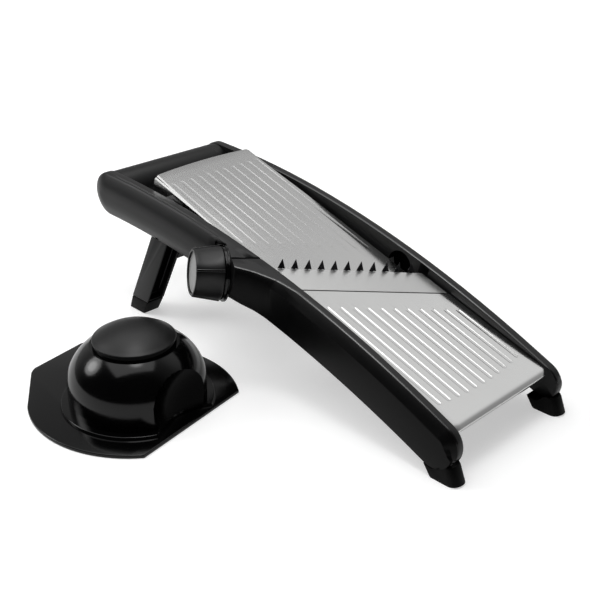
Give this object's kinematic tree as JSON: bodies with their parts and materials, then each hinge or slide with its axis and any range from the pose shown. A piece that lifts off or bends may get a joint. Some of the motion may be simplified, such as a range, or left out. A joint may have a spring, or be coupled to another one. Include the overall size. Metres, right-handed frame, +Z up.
{
  "type": "mandoline slicer",
  "caption": "Mandoline slicer with arched side rails, grooved steel plates, a skewed blade, a julienne comb, a thickness dial, a fold-out stand and a separate domed food holder.",
  "frame": {"origin": "on the table, at the middle of the box round the slicer and its food holder", "axes": "+X down the slope towards the front feet, +Y towards the right-hand rail, +Z up"},
  "size_m": [0.4099, 0.3139, 0.1348],
  "materials": {
    "rail_black": "satin moulded black",
    "soft_grip": "soft-touch black, fine grain",
    "gloss_black": "polished black",
    "plate_steel": "fine brushed along the slope",
    "edge_steel": "ground and honed",
    "bar_metal": "drawn bar",
    "fastener_steel": "zinc plated",
    "bearing_plastic": "natural dark acetal",
    "dial_grey": "satin light grey",
    "foot_rubber": "matt black rubber"
  },
  "bodies": {
    "frame": {"left_rail": "rail_black", "right_rail": "rail_black", "left_upper_cover": "soft_grip", "right_upper_cover": "soft_grip", "left_lower_cover": "gloss_black", "right_lower_cover": "gloss_black", "handle_grip": "soft_grip", "handle_rod": "bar_metal", "rear_brace": "rail_black", "front_brace": "rail_black", "lower_deck": "rail_black", "lower_plate": "plate_steel", "blade": "edge_steel", "blade_studs": "fastener_steel", "blade_nuts": "fastener_steel", "left_bearing": "bearing_plastic", "right_bearing": "bearing_plastic", "bearing_screws": "fastener_steel", "dial_collar": "gloss_black", "left_foot": "foot_rubber", "right_foot": "foot_rubber", "leg_stops": "bearing_plastic"},
    "carriage": {"plate_tray": "rail_black", "upper_plate": "plate_steel", "guide_posts": "bar_metal"},
    "dial": {"dial_knob": "gloss_black", "dial_face": "dial_grey", "dial_shaft": "bar_metal", "dial_screw": "fastener_steel", "left_cam": "bearing_plastic", "right_cam": "bearing_plastic"},
    "comb": {"comb_tines": "edge_steel", "comb_bar": "bar_metal", "comb_grip": "gloss_black"},
    "stand": {"left_leg": "gloss_black", "right_leg": "gloss_black", "left_leg_tip": "foot_rubber", "right_leg_tip": "foot_rubber", "leg_crossbar": "gloss_black", "leg_pins": "bar_metal"},
    "holder": {"holder_body": "gloss_black", "stem_bush": "bearing_plastic", "pusher_spring": "bar_metal"},
    "pusher": {"pusher_cap": "soft_grip", "pusher_stem": "bearing_plastic", "pusher_plate": "bearing_plastic", "pusher_prongs": "edge_steel", "stem_screw": "fastener_steel"}
  },
  "joints": [
    {"name": "plate_lift", "type": "slide", "parent": "frame", "child": "carriage", "axis": [0.3074, 0, 0.9516], "range_m": [0, 0.007]},
    {"name": "dial_turn", "type": "hinge", "parent": "frame", "child": "dial", "pos_m": [0.02014, 0.0831, 0.07246], "axis": [0.4758, 0.866, -0.1537], "range_deg": [0, 280.5]},
    {"name": "comb_pull", "type": "slide", "parent": "frame", "child": "comb", "axis": [0.4758, 0.866, -0.1537], "range_m": [0, 0.14]},
    {"name": "stand_fold", "type": "hinge", "parent": "frame", "child": "stand", "pos_m": [-0.118, 0.0758, 0.088], "axis": [0, -1, 0], "range_deg": [0, 95]},
    {"name": "holder_lift", "type": "slide", "parent": "frame", "child": "holder", "axis": [0, -0.6, 0.8], "range_m": [0, 0.15]},
    {"name": "pusher_lift", "type": "slide", "parent": "holder", "child": "pusher", "axis": [0, 0, 1], "range_m": [0, 0.015], "stiffness_N_per_m": 150, "springref_m": -0.03, "deforming": ["pusher_spring"]}
  ],
  "couplings": [
    {"joint": "dial_turn", "follows": "plate_lift", "rad_per_m": 698}
  ]
}
